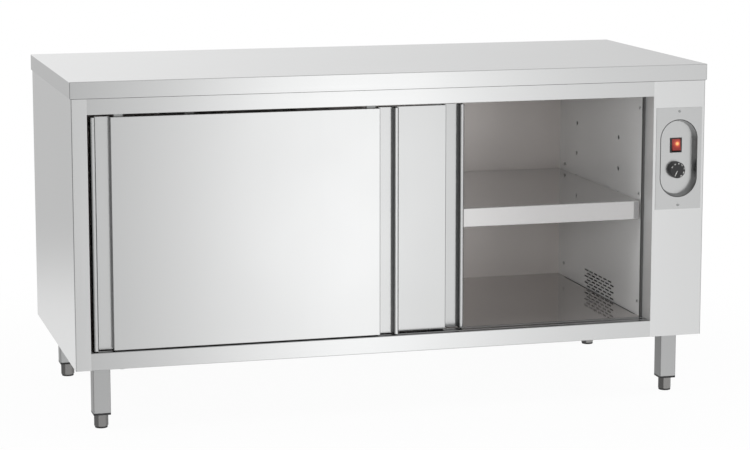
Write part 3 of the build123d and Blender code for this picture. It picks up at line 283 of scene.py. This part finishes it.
def rolled_steel(
        name, colour, roughness, grain, figure=1.0, turned=1.0, dullness=0.0, dulled=None, skirt=None):
    """Stainless sheet ground with a belt along one axis: fine lines, faint streaks and clouds.

    Figure scales the streaks and clouds. Faces turned away from the front get painted shade: they keep
    only a share of the colour. Dullness is the share of the light that the surface scatters evenly,
    everywhere or only where it faces one way. A skirt is a pair of levels and the colour below them."""
    material, start = new_material(name)
    place = start.add("ShaderNodeTexCoord", output="Object")

    def drawn_out(width, length, detail):
        """Noise with its spots drawn out along the grain."""
        scale = [1 / width] * 3
        scale["XYZ".index(grain)] = 1 / length
        stretched = start.add("ShaderNodeVectorMath", {"operation": "MULTIPLY"}, {0: place, 1: scale})
        return start.add("ShaderNodeTexNoise", {}, {"Vector": stretched, "Scale": 1.0, "Detail": detail})

    streaks = drawn_out(STREAK_WIDTH, STREAK_LENGTH, 3.0) - 0.5
    lines = drawn_out(GRAIN_WIDTH, GRAIN_LENGTH, 1.0)
    clouds = start.add(
        "ShaderNodeTexNoise", {}, {"Vector": place, "Scale": 1 / CLOUD_SIZE, "Detail": 2.0}) - 0.5
    streaked = (*[part * STREAK_SHADE for part in colour], 1.0)
    tint = start.add(
        "ShaderNodeMix", {"data_type": "RGBA"},
        {0: streaks * figure + 0.5, 6: streaked, 7: (*colour, 1.0)}, output=2)
    # Painted shade: faces turned away from the front keep only a share of the colour.
    if turned < 1.0:
        outward = start.add("ShaderNodeTexCoord", output="Normal")
        frontal = start.add("ShaderNodeSeparateXYZ", {}, {0: outward}, output=1)
        side_shade_mask = 1.0 - frontal * frontal
        side_shade_colour = (*[part * turned for part in colour], 1.0)
        tint = start.add(
            "ShaderNodeMix", {"data_type": "RGBA"}, {0: side_shade_mask, 6: tint, 7: side_shade_colour}, output=2)
    metal = 1.0 - dullness
    if skirt:
        levels, shade = skirt
        level = start.add("ShaderNodeSeparateXYZ", {}, {0: place}, output=2)
        clear = start.add(
            "ShaderNodeMapRange", {}, {"Value": level, "From Min": levels[0], "From Max": levels[1]})
        tint = start.add(
            "ShaderNodeMix", {"data_type": "RGBA"}, {0: clear, 6: (*shade, 1.0), 7: tint}, output=2)
        metal = clear * metal
    if dulled:
        outward = start.add("ShaderNodeTexCoord", output="Normal")
        facing = start.add(
            "ShaderNodeVectorMath", {"operation": "DOT_PRODUCT"}, {0: outward, 1: dulled}, output="Value")
        metal = 1.0 - start.sum_of("MAXIMUM", facing, 0.0) * dullness
    relief = start.add("ShaderNodeBump", {}, {"Strength": 1.0, "Distance": GRAIN_DEPTH, "Height": lines})
    polish = streaks * (STREAK_ROUGHNESS * figure) + clouds * (CLOUD_ROUGHNESS * figure) + roughness
    shader = start.add(
        "ShaderNodeBsdfPrincipled", {},
        {"Base Color": tint, "Metallic": metal, "Normal": relief, "Roughness": polish})
    show(start, shader)
    return material


worktop_steel = rolled_steel("satin steel, grain along X", SATIN_COLOUR, FINE_ROUGHNESS, "X")
dress(worktop_steel, "worktop_skin")

BOARD_COLOUR = (0.50, 0.37, 0.24)
CHIP_COLOUR = (0.34, 0.23, 0.13)
CHIP_SIZE = 0.004
FLECK_ROUGHNESS = 0.2


def speckled(name, colour, fleck, size, roughness, depth, metallic=0.0):
    """A dull material with flecks of a second colour and a little relief."""
    material, start = new_material(name)
    place = start.add("ShaderNodeTexCoord", output="Object")
    flecks = start.add("ShaderNodeTexNoise", {}, {"Vector": place, "Scale": 1 / size, "Detail": 4.0})
    relief = start.add("ShaderNodeBump", {}, {"Strength": 1.0, "Distance": depth, "Height": flecks})
    tint = start.add(
        "ShaderNodeMix", {"data_type": "RGBA"},
        {0: flecks, 6: (*fleck, 1.0), 7: (*colour, 1.0)}, output=2)
    polish = (flecks - 0.5) * FLECK_ROUGHNESS + roughness
    shader = start.add(
        "ShaderNodeBsdfPrincipled", {},
        {"Base Color": tint, "Metallic": metallic, "Normal": relief, "Roughness": polish})
    show(start, shader)
    return material


chipboard = speckled("chipboard", BOARD_COLOUR, CHIP_COLOUR, size=CHIP_SIZE, roughness=0.8, depth=0.0004)
dress(chipboard, "worktop_board")

# ---- outer casing ---------------------------------------------------------------------------
# Folded 1 mm satin stainless sheets: two sides with their front posts and door jambs, a back, and
# a rail over and under the door opening. They are welded at the corners and ground.
CASING_COLOUR = (0.87, 0.875, 0.875)
RAIL_PAINTED_SHADE = 0.25         # painted shade: share of its colour that a rail keeps on faces turned from the front
JAMB_DULLNESS = 0.5        # of the right side, only where it faces the opening
INWARD = (-1.0, 0.0, 0.0)
casing_steel = rolled_steel("satin steel of the casing", CASING_COLOUR, SATIN_ROUGHNESS, "Z")
dress(casing_steel, "left_side_outer", "back_outer")
jamb_steel = rolled_steel(
    "satin steel of the right side", CASING_COLOUR, SATIN_ROUGHNESS, "Z",
    dullness=JAMB_DULLNESS, dulled=INWARD)
dress(jamb_steel, "right_side_outer")
rail_steel = rolled_steel(
    "satin steel of the rails", SATIN_COLOUR, FINE_ROUGHNESS, "X", turned=RAIL_PAINTED_SHADE)
dress(rail_steel, "top_rail", "bottom_rail")

# A thin dark strip runs round the casing under the worktop's turned-down edge: painted shadow in the gap
# below that edge.
SHADOW_LINE_SIDE = (0.797, 0.347)
SHADOW_LINE_LEVELS = (0.8036, 0.8050)
SHADOW_LINE_WIDTH = 0.0016
SHADOW_LINE_COLOUR = (0.10, 0.10, 0.10)
SHADOW_LINE_FLECK = (0.075, 0.075, 0.075)


def fit_piece(name, mesh, material, body):
    """Makes a mesh a piece of the scene that rides on a body."""
    mesh.materials.clear()
    mesh.materials.append(material)
    piece = bpy.data.objects.new(name, mesh)
    scene.collection.objects.link(piece)
    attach(piece, body)


def closed_strip(name, rings):
    """A strip that closes on itself, from the rings of points along its edges, in order."""
    count = len(rings[0])
    mesh = bpy.data.meshes.new(name)
    mesh.from_pydata(
        [point for ring in rings for point in ring], [],
        [(ring * count + step, (ring + 1) % len(rings) * count + step,
          (ring + 1) % len(rings) * count + (step + 1) % count, ring * count + (step + 1) % count)
         for ring in range(len(rings)) for step in range(count)])
    return mesh


SHADOW_LINE_EDGES = ((0.0, SHADOW_LINE_LEVELS[1]), (SHADOW_LINE_WIDTH, SHADOW_LINE_LEVELS[1]), (0.0, SHADOW_LINE_LEVELS[0]))
shadow_line_rings = [
    [(side_x * (SHADOW_LINE_SIDE[0] + out), side_y * (SHADOW_LINE_SIDE[1] + out), level)
     for side_x, side_y in ((-1, -1), (1, -1), (1, 1), (-1, 1))]
    for out, level in SHADOW_LINE_EDGES]
painted_shadow = speckled("grey sealant", SHADOW_LINE_COLOUR, SHADOW_LINE_FLECK, size=0.003, roughness=0.7, depth=0.00003)
fit_piece("painted_shadow_line", closed_strip("painted_shadow_line", shadow_line_rings), painted_shadow, "cabinet")

ZINC_COLOUR = (0.66, 0.67, 0.66)
ZINC_SHADE = (0.52, 0.54, 0.54)
zinc = speckled(
    "zinc plate", ZINC_COLOUR, ZINC_SHADE,
    size=0.02, roughness=0.38, depth=0.00002, metallic=1.0)
dress(zinc, "base_panel")

# ---- lining ---------------------------------------------------------------------------------
# The warm compartment is lined with bright-rolled stainless sheet screwed to the casing, with
# mineral wool behind it and a rubber seal down each door jamb.
# The copies of the lining steel differ in colour to stand in for light: the sides and the back are painted
# lighter than the floor and ceiling, as painted light in the deep compartment.
LINING_COLOUR = (0.52, 0.49, 0.475)
LINING_ROUGHNESS = 0.06
BACK_COLOUR = (0.88, 0.83, 0.80)
BACK_ROUGHNESS = 0.36
SIDE_LINING_COLOUR = (0.94, 0.945, 0.94)
SLIT_LEVELS = (0.1958, 0.1966)   # painted shade: the sides are painted dark below these levels, along the air slit
SLIT_PAINTED_SHADE = (0.04, 0.04, 0.04)
BRIGHT_FIGURE = 0.3
FLOOR_DULLNESS = 0.4
SIDE_DULLNESS = 0.8
BACK_DULLNESS = 0.7
lining = rolled_steel(
    "bright lining steel", LINING_COLOUR, LINING_ROUGHNESS, "X", BRIGHT_FIGURE, dullness=FLOOR_DULLNESS)
dress(lining, "floor_panel", "ceiling_panel")
side_lining = rolled_steel(
    "bright lining steel of the sides", SIDE_LINING_COLOUR, LINING_ROUGHNESS, "Z", BRIGHT_FIGURE,
    dullness=SIDE_DULLNESS, skirt=(SLIT_LEVELS, SLIT_PAINTED_SHADE))
dress(side_lining, "left_side_inner", "right_side_inner")
back_lining = rolled_steel(
    "matt lining steel", BACK_COLOUR, BACK_ROUGHNESS, "X", BRIGHT_FIGURE, dullness=BACK_DULLNESS)
dress(back_lining, "back_inner")
dress(zinc, "wall_screws")

WOOL_COLOUR = (0.74, 0.68, 0.45)
WOOL_SHADE = (0.56, 0.50, 0.30)
wool = speckled("mineral wool", WOOL_COLOUR, WOOL_SHADE, size=0.006, roughness=0.95, depth=0.002)
dress(wool, "insulation_slabs")

RUBBER_COLOUR = (0.085, 0.084, 0.083)
RUBBER_SHADE = (0.11, 0.11, 0.108)
rubber = speckled("grey rubber", RUBBER_COLOUR, RUBBER_SHADE, size=0.003, roughness=0.65, depth=0.00005)
dress(rubber, "jamb_seals")

# ---- shelf ----------------------------------------------------------------------------------
# A loose tray of the same bright sheet, folded down at the front and back, stiffened by a hat
# section and laid on four hooks in the wall holes.
SHELF_COLOUR = (0.62, 0.612, 0.61)
SHELF_DULLNESS = 0.2
shelf_steel = rolled_steel(
    "bright shelf steel", SHELF_COLOUR, LINING_ROUGHNESS, "X", BRIGHT_FIGURE, dullness=SHELF_DULLNESS)
dress(shelf_steel, "shelf_panel", "shelf_stiffener")
dress(zinc, "shelf_supports")

# ---- doors and their gear -------------------------------------------------------------------
# Two double-skinned satin doors with a folded channel at each end as a handle. Each hangs from a
# double track on two nylon rollers and is kept upright by black fins in the bottom rail.
PLASTIC_COLOUR = (0.020, 0.020, 0.021)
PLASTIC_SHADE = (0.030, 0.030, 0.031)
black_plastic = speckled(
    "black moulding", PLASTIC_COLOUR, PLASTIC_SHADE,
    size=0.002, roughness=0.42, depth=0.00001)
NYLON_COLOUR = (0.86, 0.86, 0.83)
NYLON_SHADE = (0.80, 0.79, 0.75)
nylon = speckled("natural nylon", NYLON_COLOUR, NYLON_SHADE, size=0.01, roughness=0.45, depth=0.00002)
ALUMINIUM_COLOUR = (0.74, 0.74, 0.75)
ALUMINIUM_ROUGHNESS = 0.35
DRAWN_FIGURE = 0.6
aluminium = rolled_steel("drawn aluminium", ALUMINIUM_COLOUR, ALUMINIUM_ROUGHNESS, "X", DRAWN_FIGURE)
REAR_DOOR_COLOUR = (0.64, 0.645, 0.645)
# Painted shade: faces of the door skins and handle channels turned from the front keep only a share of
# their colour, least on the channels' walls.
DOOR_PAINTED_SHADE = 0.3
HANDLE_PAINTED_SHADE = 0.12
HANDLE_ROUGHNESS = 0.22
for door, colour in (("front", SATIN_COLOUR), ("rear", REAR_DOOR_COLOUR)):
    door_steel = rolled_steel(
        f"satin steel of the {door} door", colour, SATIN_ROUGHNESS, "Z", turned=DOOR_PAINTED_SHADE)
    dress(door_steel, f"{door}_door_outer_skin", f"{door}_door_inner_skin")
    handle_steel = rolled_steel(
        f"satin steel of the {door} handles", colour, HANDLE_ROUGHNESS, "Z", turned=HANDLE_PAINTED_SHADE)
    dress(handle_steel, f"{door}_door_left_handle", f"{door}_door_right_handle")
    dress(nylon, f"{door}_door_left_roller", f"{door}_door_right_roller")
    dress(black_plastic, f"{door}_door_guides")
    dress(zinc, f"{door}_door_hangers")
    dress(wool, f"{door}_door_core")
dress(aluminium, "door_track")
dress(rubber, "track_stops")

# A hairline strip of painted shadow marks the joint where each door's skin meets a handle channel.
SEAM_WIDTH = 0.0007
SEAM_PROUD = 0.00008
SEAM_COLOUR = (0.16, 0.16, 0.16)
seam_shade = speckled(
    "shadow in a joint", SEAM_COLOUR, SEAM_COLOUR,
    size=0.003, roughness=0.6, depth=0.00001)
BOX_FACES = [(0, 1, 3, 2), (4, 6, 7, 5), (0, 4, 5, 1), (2, 3, 7, 6), (0, 2, 6, 4), (1, 5, 7, 3)]

for door in ("front", "rear"):
    skin_low, skin_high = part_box(f"{door}_door_outer_skin")
    for side, seam in (("left", skin_low[0]), ("right", skin_high[0])):
        mesh = bpy.data.meshes.new(f"{door}_door_{side}_seam")
        mesh.from_pydata(
            [(seam + x * SEAM_WIDTH / 2, skin_low[1] + y * SEAM_PROUD, z)
             for x in (-1, 1) for y in (-1, 1) for z in (skin_low[2], skin_high[2])], [], BOX_FACES)
        fit_piece(mesh.name, mesh, seam_shade, f"{door}_door")

# ---- control plate --------------------------------------------------------------------------
# A pressed satin plate with a deep oval recess, held by two cross-head screws. The recess keeps
# the switch and the thermostat's knob out of harm's way.
PLATE_COLOUR = (0.72, 0.725, 0.725)
PLATE_ROUGHNESS = 0.26
# Painted shade: the plate's faces turned from the front, the recess walls among them, keep only half its
# colour.
PLATE_PAINTED_SHADE = 0.5
plate_steel = rolled_steel(
    "satin steel of the control plate", PLATE_COLOUR, PLATE_ROUGHNESS, "X", turned=PLATE_PAINTED_SHADE)
dress(plate_steel, "control_plate")
dress(zinc, "control_plate_screws")

# A thin strip of painted shadow runs all round the pressed mouth of the recess.
MOUTH_RADIUS = 0.0485
MOUTH_STRAIGHT = 0.097     # between the centres of its two rounded ends
MOUTH_LINE = (-0.0004, 0.0016)   # from the mouth's edge, inwards and outwards
MOUTH_COLOUR = (0.055, 0.055, 0.055)
MOUTH_PROUD = 0.00006
MOUTH_STEPS = 48           # in each rounded end

plate_low, plate_high = (Vector(corner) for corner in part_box("control_plate"))
plate_middle = (plate_low + plate_high) / 2
mouth = []
for end in (1, -1):
    for step in range(MOUTH_STEPS + 1):
        turn = math.pi * step / MOUTH_STEPS
        mouth.append((end * math.cos(turn), end * math.sin(turn), end * MOUTH_STRAIGHT / 2))
inner, outer = MOUTH_LINE
mouth_edges = (
    (inner, MOUTH_PROUD), (inner, -MOUTH_PROUD), (outer, -MOUTH_PROUD), (outer, MOUTH_PROUD))
mouth_rings = [
    [(plate_middle.x + x * (MOUTH_RADIUS + out), plate_low.y + proud,
      plate_middle.z + straight + z * (MOUTH_RADIUS + out)) for x, z, straight in mouth]
    for out, proud in mouth_edges]
mouth_shade = speckled(
    "shadow of the recess", MOUTH_COLOUR, MOUTH_COLOUR,
    size=0.003, roughness=0.6, depth=0.00001)
fit_piece("recess_edge", closed_strip("recess_edge", mouth_rings), mouth_shade, "cabinet")

# ---- switch ---------------------------------------------------------------------------------
# A black moulded rocker switch with a clear red rocker, lit from inside by a small lamp behind
# its upper half.
dress(black_plastic, "switch_body")

LENS_COLOUR = (0.22, 0.020, 0.014, 1.0)
LENS_ROUGHNESS = 0.22
LENS_COAT = 0.5
LENS_COAT_ROUGHNESS = 0.1
LAMP_STOPS = (
    (0.0, (1.0, 0.88, 0.42)), (0.26, (1.0, 0.50, 0.14)),
    (0.52, (0.38, 0.046, 0.025)), (1.0, (0.07, 0.005, 0.005)))
LAMP_REACH = 0.0120
LAMP_STRENGTH = 0.9
LAMP_OFFSET = (0.0030, -0.006, 0.003)   # of the lamp's image from the rocker's middle
rocker_low, rocker_high = (Vector(corner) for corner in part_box("switch_rocker"))
rocker_middle = (rocker_low + rocker_high) / 2
lamp_place = rocker_middle + Vector(LAMP_OFFSET)

red_lens, start = new_material("lit red rocker")
place = start.add("ShaderNodeTexCoord", output="Object")
offset = start.add("ShaderNodeVectorMath", {"operation": "SUBTRACT"}, {0: place, 1: lamp_place})
reach = start.add("ShaderNodeVectorMath", {"operation": "LENGTH"}, {0: offset}, output="Value")
glow = start.add("ShaderNodeValToRGB", {"stops": LAMP_STOPS}, {0: reach * (1 / LAMP_REACH)})
show(start, start.add(
    "ShaderNodeBsdfPrincipled", {},
    {"Base Color": LENS_COLOUR, "Roughness": LENS_ROUGHNESS, "Emission Color": glow,
     "Emission Strength": LAMP_STRENGTH, "Coat Weight": LENS_COAT, "Coat Roughness": LENS_COAT_ROUGHNESS}))
dress(red_lens, "switch_rocker")

# ---- thermostat knob ------------------------------------------------------------------------
# A turned-look black moulding pushed on the thermostat's spindle. Its temperatures and pointer
# are printed on its face in white.
dress(black_plastic, "thermostat_knob")
dress(zinc, "thermostat_spindle")
thermostat_case = speckled(
    "black thermostat case", PLASTIC_COLOUR, PLASTIC_SHADE,
    size=0.003, roughness=0.5, depth=0.00002)
dress(thermostat_case, "thermostat_body")

FIGURES = ("30", "40", "50", "60", "70", "80", "90")
FIRST_FIGURE = math.radians(-61)
FIGURE_STEP = math.radians(34.5)
FIGURE_CIRCLE = 0.0168
FIGURE_SIZE = 0.0044
FIGURE_STEPS = 3           # in each curve of a figure
PRINT_THICK = 0.00006
POINTER_ANGLE = math.radians(206)
POINTER_REACH = (0.0020, 0.0165)
POINTER_WIDTH = 0.0011
PRINT_COLOUR = (0.86, 0.86, 0.84)

print_white = speckled("white print", PRINT_COLOUR, PRINT_COLOUR, size=0.001, roughness=0.5, depth=0.000002)
knob_low, knob_high = (Vector(corner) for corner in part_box("thermostat_knob"))
knob_face = Vector(((knob_low.x + knob_high.x) / 2, knob_low.y, (knob_low.z + knob_high.z) / 2))
upright = Matrix.Rotation(math.radians(90), 4, "X")


def on_knob(mesh, name, angle):
    """Lays a flat mesh on the knob's face, turned clockwise from the top by an angle."""
    turn = Matrix.Rotation(angle, 4, "Y")
    mesh.transform(Matrix.Translation(knob_face) @ turn @ upright)
    fit_piece(name, mesh, print_white, "knob")


for index, figure in enumerate(FIGURES):
    curve = bpy.data.curves.new("figure", "FONT")
    curve.body = figure
    curve.size = FIGURE_SIZE
    curve.align_x = "CENTER"
    curve.align_y = "CENTER"
    curve.extrude = PRINT_THICK
    curve.resolution_u = FIGURE_STEPS
    writing = bpy.data.objects.new("figure", curve)
    mesh = bpy.data.meshes.new_from_object(writing)
    bpy.data.objects.remove(writing)
    mesh.transform(Matrix.Translation((0, FIGURE_CIRCLE, 0)))
    on_knob(mesh, f"knob_figure_{figure}", FIRST_FIGURE + index * FIGURE_STEP)

near, far = POINTER_REACH
side = POINTER_WIDTH / 2
line = [(-side, near), (side, near), (side, far), (-side, far)]
mesh = bpy.data.meshes.new("knob_pointer")
mesh.from_pydata(
    [(x, y, z) for z in (-PRINT_THICK, PRINT_THICK) for x, y in line], [],
    [(3, 2, 1, 0), (4, 5, 6, 7)] + [(a, (a + 1) % 4, (a + 1) % 4 + 4, a + 4) for a in range(4)])
on_knob(mesh, "knob_pointer", POINTER_ANGLE)

# ---- warm air -------------------------------------------------------------------------------
# A tubular heater and an axial fan sit in a zinc-plated duct behind the grille and blow warm air
# through the compartment and under its floor.
dress(zinc, "air_duct")
HEATER_COLOUR = (0.16, 0.145, 0.14)
HEATER_SHADE = (0.10, 0.085, 0.08)
heater_sheath = speckled(
    "oxidised heater sheath", HEATER_COLOUR, HEATER_SHADE,
    size=0.012, roughness=0.5, depth=0.00004, metallic=0.8)
dress(heater_sheath, "heater_element")
dress(black_plastic, "fan_frame", "fan_rotor")

# ---- wiring ---------------------------------------------------------------------------------
# The mains gland in the base, the terminal block above it and the sheathed leads to the controls.
dress(nylon, "terminal_block")
dress(rubber, "wiring_harness")
dress(black_plastic, "cable_gland")

# ---- legs and feet --------------------------------------------------------------------------
# Square satin stainless tubes welded to bolted plates, closed below by black plugs that hold the
# threaded studs of solid hexagonal feet.
# The legs' copy of the satin steel is painted darker, as painted shade for the shadowed floor they reflect,
# and their faces turned from the front keep less of it as painted shade.
LEG_COLOUR = (0.60, 0.605, 0.605)
LEG_ROUGHNESS = 0.32
LEG_PAINTED_SHADE = 0.45
leg_steel = rolled_steel("satin steel of the legs", LEG_COLOUR, LEG_ROUGHNESS, "Z", turned=LEG_PAINTED_SHADE)
dress(leg_steel, "legs")
FOOT_COLOUR = (0.33, 0.325, 0.32)
# Painted shade: the facets turned from the front keep less of the colour than the front facet.
FOOT_PAINTED_SHADE = 0.45
FOOT_ROUGHNESS = 0.24
PAD_COLOUR = (0.03, 0.03, 0.03)
PAD_LEVELS = (0.0040, 0.0048)    # between the dark pad and the foot
foot_steel = rolled_steel(
    "turned steel of the feet", FOOT_COLOUR, FOOT_ROUGHNESS, "Z", DRAWN_FIGURE,
    turned=FOOT_PAINTED_SHADE, skirt=(PAD_LEVELS, PAD_COLOUR))
dress(foot_steel, *[f"foot_{end}_{side}" for end in ("front", "back") for side in ("left", "right")])
dress(zinc, "leg_bolts")
dress(black_plastic, "leg_plugs")
